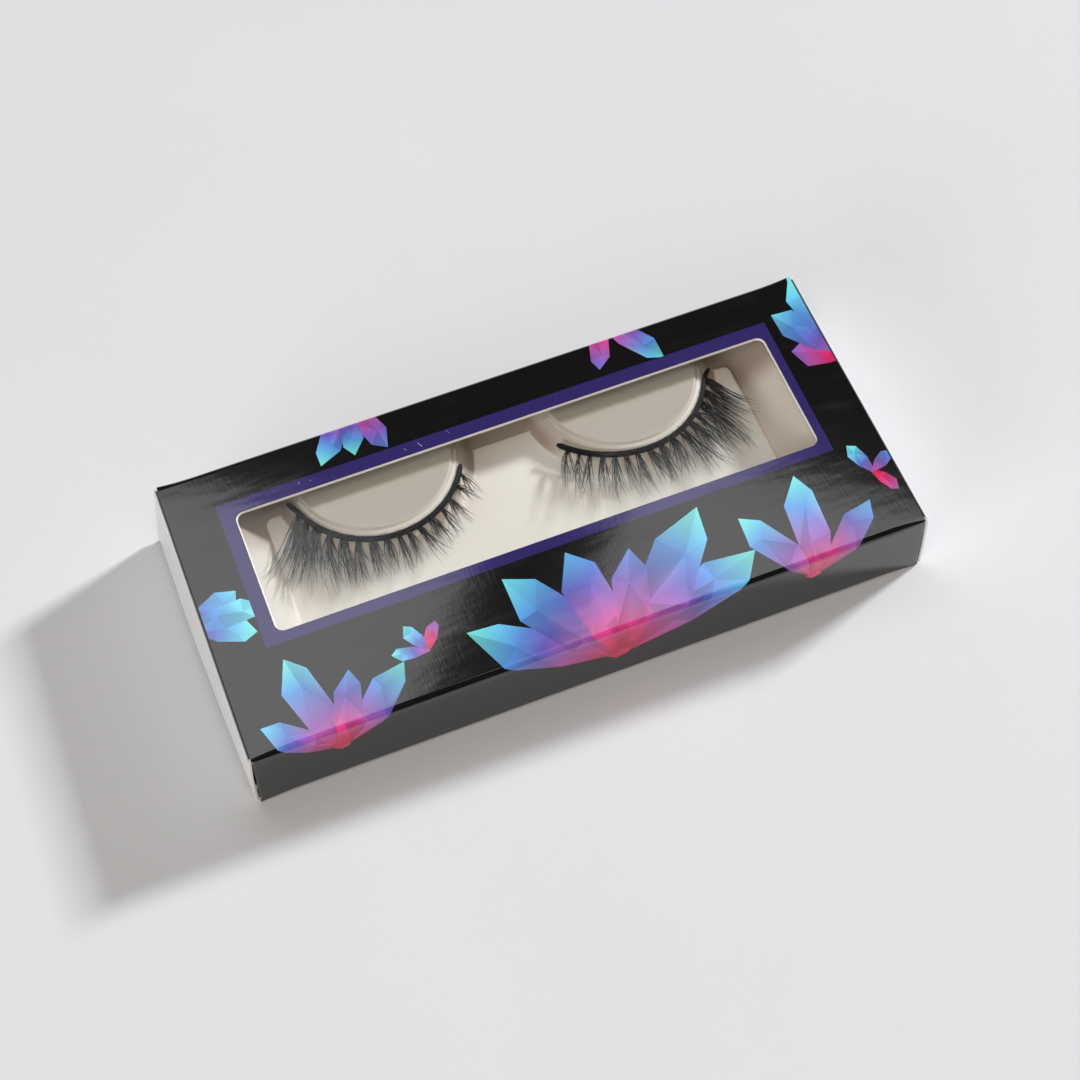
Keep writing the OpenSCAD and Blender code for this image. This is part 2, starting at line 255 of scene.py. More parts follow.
# %% [markdown]
# The world gives a faint, warm, even light. The camera sees a pale backdrop in its place, and so
# does what looks through the film. A pale dome overhead would turn the black print grey, so gloss
# mirrors the backdrop only near the horizon.

# %% World
world = bpy.data.worlds.new("studio")
bpy.context.scene.world = world
world.use_nodes = True
world.node_tree.nodes.clear()
path = world.node_tree.nodes.new("ShaderNodeLightPath")
seen, mirrored, through = (Wire(world.node_tree, path.outputs[f"Is {kind} Ray"])
                           for kind in ("Camera", "Glossy", "Transmission"))
direction = seen.node("TexCoord")
above = direction.node("SeparateXYZ", out=2, Vector=direction)
near_horizon = mirrored * (1.0 - above.step(0.0, 0.2))
pale = seen.maths("MAXIMUM", through).maths("MAXIMUM", near_horizon)
dim_light, backdrop = (0.058, 0.051, 0.044, 1.0), (0.8, 0.82, 0.86, 1.0)
sky = seen.node("Background", Strength=1.0, Color=pale.blend(dim_light, backdrop))
output = world.node_tree.nodes.new("ShaderNodeOutputWorld")
world.node_tree.links.new(sky.socket, output.inputs["Surface"])

# %% [markdown]
# ## Materials of the carton
# The board is coated paper. Outside it is printed and gloss laminated: the film levels the paper,
# but its slight waves still bend the edges of reflections. The printed colour comes from the mesh
# as an attribute, which keeps each printed shape as sharp as its own edges.

# %% Printed board
def printed_board():
    material, place = start("printed_board")
    ink = place.node("Attribute", {"attribute_name": "ink"})
    fleck = noise(place, 0.12, 2.0).step(0.35, 0.75)
    rub = noise(place, (9, 2.5, 2.5), 4.0).step(0.5, 0.8)
    lifted = ink.node("Mix", {"data_type": "RGBA", "blend_type": "ADD"}, out=2,
                      i0=0.0015 * fleck + 0.002 * rub, i6=ink, i7=(1.0, 1.0, 1.0, 1.0))
    waves = noise(place, (7, 3, 3), 2.0)
    streaks = noise(place, (0.4, 2.2, 0.4), 3.0)
    rough = 0.075 + 0.04 * rub + 0.015 * fleck
    shader = place.node("BsdfPrincipled", Base_Color=lifted, Roughness=rough,
                        Normal=bump(waves + 0.2 * streaks, 0.012), Specular_IOR_Level=1.0)
    return end(material, shader)

# %% [markdown]
# Inside, and at each cut, the board is bare: short pale fibres in every direction, a little warmer
# than the coated side, which the end panels and their tuck flaps show outside.

# %% Bare board
def bare_board(name="bare_board", pale=(0.88, 0.86, 0.80, 1.0), dark=(0.79, 0.765, 0.70, 1.0),
               rough=0.62):
    material, place = start(name)
    fibres = noise(place, (0.9, 0.16, 0.3), 4.0, 0.6)
    cloud = noise(place, 5.0, 3.0)
    colour = (0.6 * fibres + 0.4 * cloud).step(0.25, 0.75).blend(dark, pale)
    shader = place.node("BsdfPrincipled", Base_Color=colour, Roughness=rough + 0.15 * fibres,
                        Normal=bump(fibres, 0.012))
    return end(material, shader)


PRINTED = printed_board()
BARE = bare_board()
COATED = bare_board("coated_board", (0.74, 0.74, 0.74, 1.0), (0.69, 0.69, 0.685, 1.0), 0.36)

# %% [markdown]
# ## Printed design
# The outside is flooded black, with an indigo frame round the window and bursts of faceted
# crystals that run from crimson roots through violet and blue to pale cyan tips. Crystals are easy
# to draw as flat facets: each has an outline and a bent ridge, and each facet gets a shade of its
# own. The design is drawn flat on the unfolded blank, so it runs over the folds unbroken.

# %% Colours of the print
def ink(red, green, blue):
    """A screen colour of 0 to 255 as the linear colour that Blender works in."""
    return np.array([(v / 255 / 12.92) if v <= 10 else ((v / 255 + 0.055) / 1.055) ** 2.4
                     for v in (red, green, blue)])


FLOOD = ink(9, 8, 10)
INDIGO = ink(49, 38, 104)
RAMP = [(0.0, ink(196, 18, 58)), (0.2, ink(226, 48, 120)), (0.38, ink(168, 92, 178)),
        (0.55, ink(98, 92, 190)), (0.74, ink(86, 152, 226)), (0.9, ink(112, 222, 246)),
        (1.0, ink(120, 236, 222))]


def crystal_colour(t):
    """The colour at t, from 0 at a crystal's root to 1 at its tip."""
    stops = [at for at, _ in RAMP]
    return np.array([np.interp(t, stops, [colour[k] for _, colour in RAMP]) for k in range(3)])

# %% One crystal
def crystal(root, heading, length, width, low, high):
    """The facets of one crystal, as (corners, root, axis, low, high, shade). Its colours go from
    low to high on the ramp."""
    axis = np.array([math.sin(heading), math.cos(heading)])
    side = np.array([axis[1], -axis[0]])
    swing = chance.uniform(-0.16, 0.16, 2)
    shape = [(0.02, -0.16), (0.34, -0.44), (0.74, -0.5), (1.0, 0.06), (0.83, 0.46), (0.42, 0.5),
             (0.05, 0.2), (0.36, swing[0]), (0.7, swing[1])]
    spots = [np.array(root) + axis * a * length
             + side * (b + chance.uniform(-0.05, 0.05)) * width for a, b in shape]
    made = []
    for corners in ((0, 7, 1), (1, 7, 8), (1, 8, 2), (2, 8, 3), (3, 8, 4), (4, 8, 5), (5, 8, 7),
                    (5, 7, 6), (6, 7, 0)):
        shade = chance.uniform(0.75, 1.2)
        made.append(([spots[k] for k in corners], np.array(root), axis / length, low, high, shade))
    return made

# %% Bursts of crystals
def plain_facet(corners, colour):
    """A facet of one colour, which stands in the root's place."""
    return corners, colour, None, 0, 0, 1


def burst(root, crystals):
    """Several crystals from one root: (heading in degrees, length, width, low, high) each. Six
    plain facets cover the spot where they meet."""
    size = 0.075 * max(crystal[1] for crystal in crystals)
    rim = [np.array(root) + size * np.array([math.cos(a), math.sin(a)])
           for a in np.arange(7) * math.pi / 3 + 0.3]
    facets = []
    for k in range(6):
        colour = crystal_colour(crystals[0][3] + 0.05) * (0.8 + 0.08 * k)
        facets.append(plain_facet([np.array(root), rim[k], rim[k + 1]], colour))
    for heading, length, width, low, high in crystals:
        facets += crystal(root, math.radians(heading), length, width, low, high)
    return facets

# %% Where the bursts stand on the blank
BURSTS = [
    ((3.5, -31.5), [(-58, 26, 7.5, 0, 1), (64, 27, 7.5, 0, 1), (-34, 25, 8, 0.1, 0.95),
                    (41, 29, 8.5, 0.05, 1), (-8, 22, 7, 0, 0.8), (19, 20, 6, 0, 0.7)]),
    ((36, -29), [(-30, 17, 5, 0.1, 1), (48, 16, 4.5, 0, 0.8), (8, 19, 5.5, 0.05, 1)]),
    ((-41, -29.5), [(-52, 14, 4.5, 0, 0.9), (46, 17, 5, 0, 1), (-14, 19, 5.5, 0.1, 1),
                    (18, 14, 4.5, 0, 0.75)]),
    ((-56.5, -1), [(62, 9, 4, 0.5, 0.9), (112, 10, 4.5, 0.45, 1), (88, 11.5, 4, 0.6, 1)]),
    ((-22, 30), [(-148, 13, 4, 0, 1), (160, 12, 4, 0, 0.7), (-172, 11, 3.6, 0, 1)]),
    ((22, 29), [(-160, 10, 3.4, 0, 0.6), (146, 13, 4, 0, 1)]),
    ((57, 8), [(-72, 9, 5, 0, 0.5), (-38, 14, 5.5, 0.3, 0.9), (-8, 18, 6, 0.4, 1)]),
    ((-24.5, -17.5), [(-80, 5.5, 2.2, 0.3, 1), (30, 5, 2, 0, 0.5), (-25, 5.5, 2.2, 0.4, 1)]),
    ((51, -14), [(-20, 6, 2.4, 0.4, 1), (150, 5, 2.2, 0, 0.4), (60, 5, 2, 0.3, 0.8)]),
    ((-10, -66), [(-60, 24, 7, 0, 1), (58, 22, 7, 0, 1), (-20, 26, 8, 0.05, 1),
                  (22, 22, 7, 0, 0.8)]),
]
DESIGN = [facet for root, crystals in BURSTS for facet in burst(root, crystals)]
print(len(DESIGN), "printed facets")

# %% [markdown]
# ## Board as a bent slab
# Each panel is drawn flat, cut along its outline, its holes and its printed edges, and then bent
# round its folds. Constrained Delaunay triangulation does the cutting: it keeps every line that it
# is given. The slab is that skin, a second skin one board thickness inside it, and the cut edges
# between them, where a small bevel shows the pale core of die-cut board.

# %% Cutting a flat panel
def cut(outline, holes, facets, lines, extra=()):
    """Flat points, triangles, and for each triangle the number of its facet, or below 0."""
    spots, edges, faces = [], [], []
    for ring in [outline, *holes, *[f[0] for f in facets]]:
        x, y = np.array(ring).T
        if x @ np.roll(y, -1) < y @ np.roll(x, -1):
            ring = ring[::-1]
        faces.append(list(range(len(spots), len(spots) + len(ring))))
        spots += [Vector(p[:2]) for p in ring]
    for one, other in lines:
        edges.append((len(spots), len(spots) + 1))
        spots += [Vector(one), Vector(other)]
    spots += [Vector(p) for p in extra]
    flat, _, triangles, _, _, origin = delaunay_2d_cdt(spots, edges, faces, 0, 1e-5)
    kept, owner = [], []
    for triangle, sources in zip(triangles, origin):
        if 0 in sources and not any(0 < s <= len(holes) for s in sources):
            kept.append(triangle)
            owner.append(max(sources) - len(holes) - 1)
    return np.array([tuple(p) for p in flat]), kept, owner

# %% Colour of a printed corner
def printed_colour(spot, facet, ground):
    """A crystal's facet runs along the ramp, faintly marbled. A plain one has one colour."""
    if facet is None:
        return ground(*spot)
    _, root, axis, low, high, shade = facet
    if axis is None:
        return root
    t = low + (high - low) * float(np.clip((spot - root) @ axis, 0, 1))
    shade *= 1 + 0.16 * math.sin(1.9 * spot[0] + 0.6) * math.sin(1.4 * spot[1] + 1.1)
    return np.clip(crystal_colour(t) * shade, 0, 1)

# %% Edges of a mesh
def open_edges(faces):
    """The face beside each directed edge, and the edges with no face on their other side."""
    beside = {}
    for k, face in enumerate(faces):
        for one, other in zip(face, face[1:] + face[:1]):
            beside[(one, other)] = k
    return beside, [(one, other) for one, other in beside if (other, one) not in beside]

# %% Bending a flat panel
def bent_panel(flat, triangles, bend):
    """The flat points that triangles use, where bend puts them, their outward normals, and the
    triangles with their numbers, facing outwards."""
    used = sorted({k for t in triangles for k in t})
    index = {k: i for i, k in enumerate(used)}
    triangles = [tuple(index[k] for k in t) for t in triangles]
    outer, normal = (np.array(part) for part in zip(*(bend(*p) for p in flat[used])))
    a, b, c = triangles[0]
    if np.cross(outer[b] - outer[a], outer[c] - outer[a]) @ normal[a] < 0:
        triangles = [t[::-1] for t in triangles]
    return flat[used], outer, normal, triangles

# %% Points of the board's two sides and of its bevel
BEVEL = 0.06
HOLE_WITHIN = 50              # points this near the middle are at the window


def board_points(flat, outer, normal, bare, slope):
    """The outside's points, the inside's, and a bevel point for each end of the bare edges, with
    the bevel point's number for each number outside."""
    points, push, ring = [*outer, *(outer - normal * BOARD)], {}, {}
    for one, other in bare:
        away = np.cross(outer[other] - outer[one], normal[one])
        for k in (one, other):
            push[k] = push.get(k, 0) + away / (np.linalg.norm(away) + 1e-12)
    for k, away in push.items():
        away /= np.linalg.norm(away)
        ring[k] = len(points)
        points.append(outer[k] + BEVEL * (away - normal[k]))
        if slope and abs(flat[k][0]) < HOLE_WITHIN:
            points[len(flat) + k] = points[len(flat) + k] + slope * away
    return points, ring

# %% From a flat panel to a slab
def flood(x, y):
    """The ground of a panel that is flooded all over."""
    return FLOOD


def nowhere(x, y):
    """Where a panel with print all over is bare outside."""
    return False


def slab(name, flat, triangles, owner, facets, bend, joined, bare_from=nowhere, slope=0.0,
         ground=flood):
    """A bent slab of board. bend gives each flat point's place and outward normal, joined says
    whether a cut at a point is a fold that goes on in the next panel, and bare_from whether the
    outside is bare there. A punched hole is narrower inside by slope on each side. Where no facet
    lies, the print has the colour that ground gives."""
    flat, outer, normal, triangles = bent_panel(flat, triangles, bend)
    n = len(flat)
    beside, rim = open_edges(triangles)
    bare = [edge for edge in rim if not all(joined(*flat[k]) for k in edge)]
    points, ring = board_points(flat, outer, normal, bare, slope)
    outside = triangles + [(other, one, ring[one], ring[other]) for one, other in bare]
    source = [*range(len(triangles)), *(beside[edge] for edge in bare)]
    faces = outside + [tuple(n + k for k in t[::-1]) for t in triangles]
    for one, other in rim:
        upper = (ring[other], ring[one]) if (one, other) in bare else (other, one)
        faces.append((*upper, n + one, n + other))
    slots = [2 if bare_from(*flat[list(triangles[k])].mean(axis=0)) else 0 for k in source]
    slots += [1] * (len(faces) - len(outside))
    piece = new_piece(name, points, faces, [PRINTED, BARE, COATED], slots, smooth=False)

    above = {low: k for k, low in ring.items()}
    colours = np.ones((len(piece.data.loops), 4), np.float32)
    for corner, (k, v) in enumerate((k, v) for k, face in zip(source, outside) for v in face):
        facet = facets[owner[k]] if owner[k] >= 0 else None
        colours[corner, :3] = printed_colour(flat[above.get(v, v)], facet, ground)
    layer = piece.data.color_attributes.new("ink", "FLOAT_COLOR", "CORNER")
    layer.data.foreach_set("color", colours.ravel())
    shading = [tuple(normal[v]) for t in triangles for v in t]
    own = [tuple(face.normal) for face in piece.data.polygons for _ in face.vertices]
    piece.data.normals_split_custom_set(shading + own[len(shading):])
    return piece

# %% A mesh from points
def new_piece(name, points, faces, materials, slots=None, smooth=True):
    """A mesh object from points in millimetres."""
    mesh = bpy.data.meshes.new(name)
    mesh.from_pydata([tuple(p) for p in np.asarray(points, float) * MM], [], faces)
    for material in materials:
        mesh.materials.append(material)
    if slots is not None:
        mesh.polygons.foreach_set("material_index", slots)
    mesh.polygons.foreach_set("use_smooth", [smooth] * len(mesh.polygons))
    mesh.update()
    piece = bpy.data.objects.new(name, mesh)
    bpy.context.scene.collection.objects.link(piece)
    return piece

# %% [markdown]
# ## The sleeve: four walls and the glue flap
# The sleeve's section is one walk: up the back wall, over the top, down the front, under the base
# and up again inside the back wall as the glue flap. Lines and quarter turns describe it, and the
# length walked is the flat coordinate of the blank. On the top panel that coordinate is simply Y.

# %% The walk round the section
FLAT = HALF_W - FOLD_R
WALL = HEIGHT - 2 * FOLD_R
QUARTER = FOLD_R * math.pi / 2
GLUE_QUARTER = GLUE_FOLD_R * math.pi / 2
GLUE_OUT, GLUE_LENGTH = 24.9, 8.4
BASE = FLAT + GLUE_OUT - GLUE_FOLD_R
BACK_FOOT = 0.05              # the back wall's cut edge stands just clear of the table
BACK = WALL + FOLD_R - BACK_FOOT
SECTION = [(BACK, None), (None, FOLD_R), (2 * FLAT, None), (None, FOLD_R), (WALL, None),
           (None, FOLD_R), (BASE, None), (None, GLUE_FOLD_R), (GLUE_LENGTH, None)]
TOP_AT = BACK + QUARTER + FLAT
print("the walk to the top panel's middle is", round(TOP_AT, 2), "mm")

# %% A place on the section
def fold_radius(x):
    """Radius of a fold: it is pinched over its last 6 mm, where the end panel's crease meets it."""
    share = np.clip((abs(x) - 48.5) / 6, 0, 1)
    return FOLD_R * (1 - 0.72 * share * share)


def round_section(q, x):
    """Place and normal in Y and Z where the flat coordinate is q. A pinched fold keeps the corner
    where its two panels would meet, and turns closer to it."""
    walked, place, heading = TOP_AT - q, np.array([HALF_W, BACK_FOOT]), math.pi / 2
    for length, radius in SECTION:
        run = min(walked, length or radius * math.pi / 2)
        ahead = np.array([math.cos(heading), math.sin(heading)])
        if radius is None:
            place = place + run * ahead
        else:
            left = np.array([-ahead[1], ahead[0]])
            corner, tight = place + ahead * radius, radius / FOLD_R * fold_radius(x)
            turned = run / radius
            bent = corner - (ahead - left) * tight
            bent = bent + tight * (math.sin(turned) * ahead - math.cos(turned) * left)
            if walked <= radius * math.pi / 2 + 1e-9:
                heading += turned
                place = bent
                break
            heading += math.pi / 2
            place = place + (ahead + left) * radius
        walked -= run
        if walked < -1e-9 or (walked <= 1e-9 and radius is None and run < length):
            break
    return place, np.array([math.sin(heading), -math.cos(heading)])


def bend_sleeve(x, q):
    place, normal = round_section(q, x)
    return np.array([x, *place]), np.array([0.0, *normal])


print("top panel's middle:", bend_sleeve(0, 0), "front wall:", bend_sleeve(0, -30))

# %% Outlines with round corners
def round_outline(length, width, radius, centre=(0, 0), steps=8):
    """Corners of a rectangle with round corners, one way round."""
    ring = []
    for k, (sx, sy) in enumerate(((1, 1), (-1, 1), (-1, -1), (1, -1))):
        for a in np.linspace(k * math.pi / 2, (k + 1) * math.pi / 2, steps + 1):
            ring.append((centre[0] + sx * (length / 2 - radius) + radius * math.cos(a),
                         centre[1] + sy * (width / 2 - radius) + radius * math.sin(a)))
    return ring


def soften(corners, radius, steps=5):
    """The polygon with each corner rounded."""
    ring, n = [], len(corners)
    for k in range(n):
        here, before, after = (np.array(corners[i % n], float) for i in (k, k - 1, k + 1))
        one = here + (before - here) / np.linalg.norm(before - here) * radius
        two = here + (after - here) / np.linalg.norm(after - here) * radius
        for t in np.linspace(0, 1, steps + 1):
            ring.append(tuple((1 - t) ** 2 * one + 2 * t * (1 - t) * here + t * t * two))
    return ring

# %% Where the folds lie on the blank
FOLDS = [(FLAT, FLAT + QUARTER), (-FLAT - QUARTER, -FLAT)]
FOLDS.append((FOLDS[1][0] - WALL - QUARTER, FOLDS[1][0] - WALL))
FOLDS.append((FOLDS[2][0] - BASE - GLUE_QUARTER, FOLDS[2][0] - BASE))
MIDDLE = [(low + high) / 2 for low, high in FOLDS]
WALL_Q = {"back": (MIDDLE[0], TOP_AT), "top": (MIDDLE[1], MIDDLE[0]),
          "front": (MIDDLE[2], MIDDLE[1]), "base": (MIDDLE[3], MIDDLE[2]),
          "glue": (FOLDS[3][0] - GLUE_LENGTH, MIDDLE[3])}
FOLD_LINES = [((-56, q), (56, q)) for low, high in FOLDS
              for q in np.linspace(low, high, 13).round(5)]
PINCH_LINES = [((x, low), (x, high)) for low, high in FOLDS
               for x in (-53.8, -53, -52, -51, -50, -49, 49, 50, 51, 52, 53, 53.8)]

# %% Window and its printed frame
# The gloss over the frame is scuffed in a few places: each scuff is a sliver of paler print.
window_hole = round_outline(*WINDOW, WINDOW_AT)
frame_ring = [(-46.96, -8.26), (46.9, -8.26), (46.9, 18.3), (-46.96, 18.3)]
FRAME = [plain_facet(frame_ring, INDIGO)]
for x, y, along, down, paler in ((-16.05, 17.44, 0.26, 0.61, 0.6), (-13.7, 17.59, 0.46, 0.93, 1.0),
                                 (-8.66, 18.19, 0.25, 0.8, 0.35), (-33.52, 17.8, 0.02, 0.5, 0.5),
                                 (-31.83, 17.55, 0.2, 0.38, 0.5)):
    scuff = [(x, y), (x + 0.15, y), (x + along + 0.15, y - down), (x + along, y - down)]
    FRAME.append(plain_facet(scuff, INDIGO + (ink(158, 148, 208) - INDIGO) * paler))

# %% One panel of the sleeve
def sleeve_panel(name, wall, node, half, corners=None, holes=(), more=()):
    """A panel of the blank on the carton. half gives half its length at each of its two folds, or
    corners its whole outline, and more the facets that only this panel has."""
    low, high = WALL_Q[wall]
    outline = corners or [(-half[0], low), (half[0], low), (half[1], high), (-half[1], high)]
    facets = [f for f in DESIGN
              if min(p[1] for p in f[0]) < high and max(p[1] for p in f[0]) > low] + list(more)
    lines = [line for line in FOLD_LINES if low + 1e-4 < line[0][1] < high - 1e-4]
    lines += [((x, max(a, low)), (x, min(b, high))) for (x, a), (_, b) in PINCH_LINES
              if a < high and b > low]
    flat, triangles, owner = cut(outline, list(holes), facets, lines)
    ends = [q for q in (low, high) if min(abs(q - TOP_AT), abs(q - WALL_Q["glue"][0])) > 1e-6]
    piece = slab(name, flat, triangles, owner, facets, bend_sleeve,
                 lambda x, q: any(abs(q - e) < 1e-4 for e in ends)
                 or (wall == "top" and abs(abs(x) - TOP_END) < 1e-4),
                 slope=0.26 if holes else 0.0)
    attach(piece, "carton")
    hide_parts(node)
    print(name, len(piece.data.polygons), "faces")
    return piece

# %% The five panels
# The base and the front wall's foot, below notch, reach FOOT_MORE further, to the end panel.
FOOT_MORE = 0.4
sleeve_panel("top_board", "top", "top_panel", (TOP_END, TOP_END), holes=[window_hole], more=FRAME)
top, foot = WALL_END
for place, f in (("front", -1), ("back", 1)):
    upper, lower = sorted(WALL_Q[place], key=abs)
    half = [(top, upper), (foot, lower)]
    if place == "front":
        notch = f * (FLAT + QUARTER + WALL - 0.05)
        half = [(top, upper), (foot - 0.05, notch), (foot + FOOT_MORE, notch),
                (foot + FOOT_MORE, lower)]
    sleeve_panel(f"{place}_board", place, f"{place}_panel", None,
                 corners=half + [(-x, q) for x, q in half[::-1]])
sleeve_panel("base_board", "base", "base_panel", (foot, foot + FOOT_MORE))
low, high = WALL_Q["glue"]
glue = sleeve_panel("glue_board", "glue", "glue_flap", None, corners=[
    (-52.1, high), (-52.1, high - 1.9), (-49.2, low), (49.2, low), (52.1, high - 1.9), (52.1, high)])

# %% [markdown]
# ## Flaps on living creases
# An end panel, its tuck flap and the dust flaps are the same board, bent round a crease. A crease
# is a turn of small radius, so a flap is a turn and then a flat.

# %% A flap on a crease
CREASE_R = 0.5


def flap(name, node, origin, out, normal, across, turn, outline, bulge, radius=CREASE_R,
         bare_from=nowhere, lines=(), ground=flood):
    """A flap that starts at origin, heads out, and turns away from normal by turn. Its outline is
    in (length from origin, place along across), and bulge moves it off that simple shape."""
    out, normal, across = (np.array(v, float) for v in (out, normal, across))
    arc = radius * turn
    after = out * math.cos(turn) - normal * math.sin(turn)

    def bend(t, c):
        angle = min(t, arc) / radius
        place = np.array(origin, float) + across * c
        place = place + out * radius * math.sin(angle) + normal * radius * (math.cos(angle) - 1)
        place = place + after * max(0.0, t - arc) + bulge(t, c)
        return place, out * math.sin(angle) + normal * math.cos(angle)

    folds = [((arc * k / 8, -60), (arc * k / 8, 60)) for k in range(1, 9)]
    flat, triangles, owner = cut(outline, [], [], folds + list(lines))
    piece = slab(name, flat, triangles, owner, [], bend, lambda t, c: abs(t) < 1e-4, bare_from,
                 ground=ground)
    start_point, end_point = bend(0, 0)[0] * MM, bend(arc, 0)[0] * MM
    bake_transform(piece)
    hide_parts(node)
    print(name, len(piece.data.polygons), "faces")
    return piece

# %% Sizes of the ends
HINGE = np.array([54.8, 14.3])    # X and Z of an end panel's hinge
END_H, HALF_B = 13.4, 0.2         # the end panel's height, and half the board
TUCK_TURN = math.radians(112)
END_TURN = math.pi / 2 - LEAN
END_ARC = CREASE_R * END_TURN
END_FLAT = END_H - CREASE_R * math.tan(END_TURN / 2) + HALF_B * math.tan(END_TURN / 2)
TUCK_R = 0.45
TUCK_BACK = (TUCK_R - HALF_B) * math.tan(TUCK_TURN / 2)
END_LENGTH = END_ARC + END_FLAT - TUCK_BACK
TUCK_ARC = TUCK_R * TUCK_TURN


def end_drift(t, y):
    """How far the real end panel stands in from its plane, t below the crease: it is twisted."""
    share = max(0.0, (t - END_ARC) / END_FLAT)
    return -(0.7 * share + 0.4 * share ** 3) * np.clip((6 - y) / 31, 0, 1) ** 1.3


def worn_print(t, y):
    """Ink thins out over the crease, where the coating cracks."""
    share = np.clip(t / END_ARC, 0, 1)
    return FLOOD + (0.6 - FLOOD) * share ** 2


def end_axes(s):
    """The directions out of an end panel and down along it, on the side s."""
    return (np.array([s * math.cos(LEAN), 0, math.sin(LEAN)]),
            np.array([s * math.sin(LEAN), 0, -math.cos(LEAN)]))

# %% [markdown]
# An end panel leans out, bare outside, and reaches a little lower at its front corner, where it is
# twisted. Its tuck flap folds in over the base. Behind it a dust flap turns in from each wall.

# %% End panel
def end_board(side, s):
    plane, _ = end_axes(s)
    w, shoulder = 24.5, 25.1
    outline = [(0, -w), (0, w), (0.45, w), (0.95, shoulder), (END_LENGTH + 0.2, shoulder),
               (END_LENGTH + 0.3, shoulder - 0.3), (END_LENGTH, 23.1), (END_LENGTH, -23.1),
               (END_LENGTH + 1.1, -23.5), (END_LENGTH + 1.1, 0.5 - shoulder),
               (END_LENGTH + 0.6, -shoulder), (0.95, -shoulder), (0.45, -w)]
    rows = [((t, -30), (t, 30)) for t in np.linspace(END_ARC, END_LENGTH, 6)[1:-1]]
    columns = [((END_ARC, y), (END_LENGTH + 1, y)) for y in np.linspace(-24, 24, 13)]
    flap(f"{side}_end_board", f"{side}_end_panel",
         (s * TOP_END, 0, HEIGHT), (s, 0, 0), (0, 0, 1), (0, 1, 0), END_TURN, outline,
         bulge=lambda t, y: plane * end_drift(t, y), bare_from=lambda t, y: t > END_ARC,
         lines=rows + columns, ground=worn_print)

# %% Tuck flap
def tuck_board(side, s):
    plane, down = end_axes(s)
    foot = np.array([s * HINGE[0], 0, HINGE[1]]) + down * (END_H - TUCK_BACK) + plane * HALF_B
    w, length, corner_r = 22.7, TUCK_ARC + 7.55, 4
    outline = [(0, -w), (0, w), (length - corner_r, w)]
    outline += [(length - corner_r + corner_r * math.sin(a), w - corner_r + corner_r * math.cos(a))
                for a in np.linspace(0.1, 1.57, 9)]
    outline += [(t, -y) for t, y in outline[:2:-1]] + [(length - corner_r, -w)]
    columns = [((0, y), (length + 1, y)) for y in np.linspace(-20, 20, 11)]
    flap(f"{side}_tuck_board", f"{side}_tuck_flap", foot, down,
         plane, (0, 1, 0), TUCK_TURN, outline, lambda t, y: plane * end_drift(END_LENGTH, y),
         radius=TUCK_R, bare_from=lambda t, y: True, lines=columns)

# %% Dust flap
DUST_R = 0.35
WALL_LEAN = WALL_END[1] - WALL_END[0]


def dust_board(side, s, place, f):
    arc = DUST_R * math.pi / 2
    tip = arc + (20.5 - DUST_R + HALF_B)
    outline = soften([(arc, 1.2), (arc + 1.2, 1.2), (arc + 2.2, 2.4), (tip - 2.5, 2.4), (tip, 4.9),
                      (tip, 7.24), (arc, 13.75)], 0.5)
    outline = [(0, 1.2)] + outline[5:-5] + [(0, 13.75)]
    flap(f"{place}_{side}_dust_board", f"{place}_{side}_dust_flap",
         (s * WALL_END[0], f * HALF_W, 0), (s, 0, 0),
         (0, f, 0), (0, 0, 1), math.pi / 2, outline, radius=DUST_R,
         bulge=lambda t, z: np.array([s * WALL_LEAN * (1 - z / 13.8), 0, 0]))

# %% Both ends
for side, s in (("left", -1), ("right", 1)):
    end_board(side, s)
    tuck_board(side, s)
    dust_board(side, s, "front", -1)
    dust_board(side, s, "back", 1)

# %% [markdown]
# ## Window film
# A clear film is glued behind the window. It is never quite flat: it bulges a little between its
# glued edges and mirrors the lamps in soft shapes. Clear film is a mirror that lets most of the
# light through, so its shader mixes a little sharp gloss into transparency, and more of it where
# the film is seen at a slant.

# %% Film
def film_material():
    material, place = start("clear_film")
    facing = place.node("LayerWeight", out=1, Blend=0.5)
    edge = 0.028 + 0.35 * facing.maths("POWER", 5.0)
    haze = noise(place, (14, 6, 6), 3.0)
    relief = bump(haze, 0.05)
    gloss = place.node("BsdfPrincipled", Base_Color=(0.95, 0.97, 1.0, 1.0), Metallic=1.0,
                       Roughness=0.1 + 0.05 * haze, Normal=relief)
    clear = place.node("BsdfTransparent", Color=(0.985, 0.99, 0.995, 1.0))
    return end(material, place.node("MixShader", i0=edge, i1=clear, i2=gloss))

# %% The film's shape
film_low, film_high = (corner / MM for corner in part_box("window_film"))
UNDER_BOARD, FILM_THICK = 0.06, 0.03
xs = np.linspace(film_low.x, film_high.x, 61)
ys = np.linspace(film_low.y, film_high.y, 25)
top_points, low_points = [], []
for x in xs:
    for y in ys:
        u = 1 - ((x - WINDOW_AT[0]) / 45.1) ** 2
        v = 1 - ((y - WINDOW_AT[1]) / 11.2) ** 2
        ripple = 0.035 * math.sin(0.16 * x + 0.12 * y) + 0.02 * math.sin(0.31 * x - 0.35 * y)
        z = film_high.z - UNDER_BOARD + max(0.0, u) * max(0.0, v) * (0.12 + ripple)
        top_points.append((x, y, z))
        low_points.append((x, y, z - FILM_THICK))
n, m = len(xs), len(ys)
faces = []
for i in range(n - 1):
    for j in range(m - 1):
        a, b = i * m + j, (i + 1) * m + j
        faces += [(a, b, b + 1, a + 1), (n * m + a, n * m + a + 1, n * m + b + 1, n * m + b)]
rim = [i * m for i in range(n)] + [(n - 1) * m + j for j in range(1, m)]
rim += [i * m + m - 1 for i in range(n - 2, -1, -1)] + list(range(m - 2, 0, -1))
faces += [(b, a, n * m + a, n * m + b) for a, b in zip(rim, rim[1:] + rim[:1])]
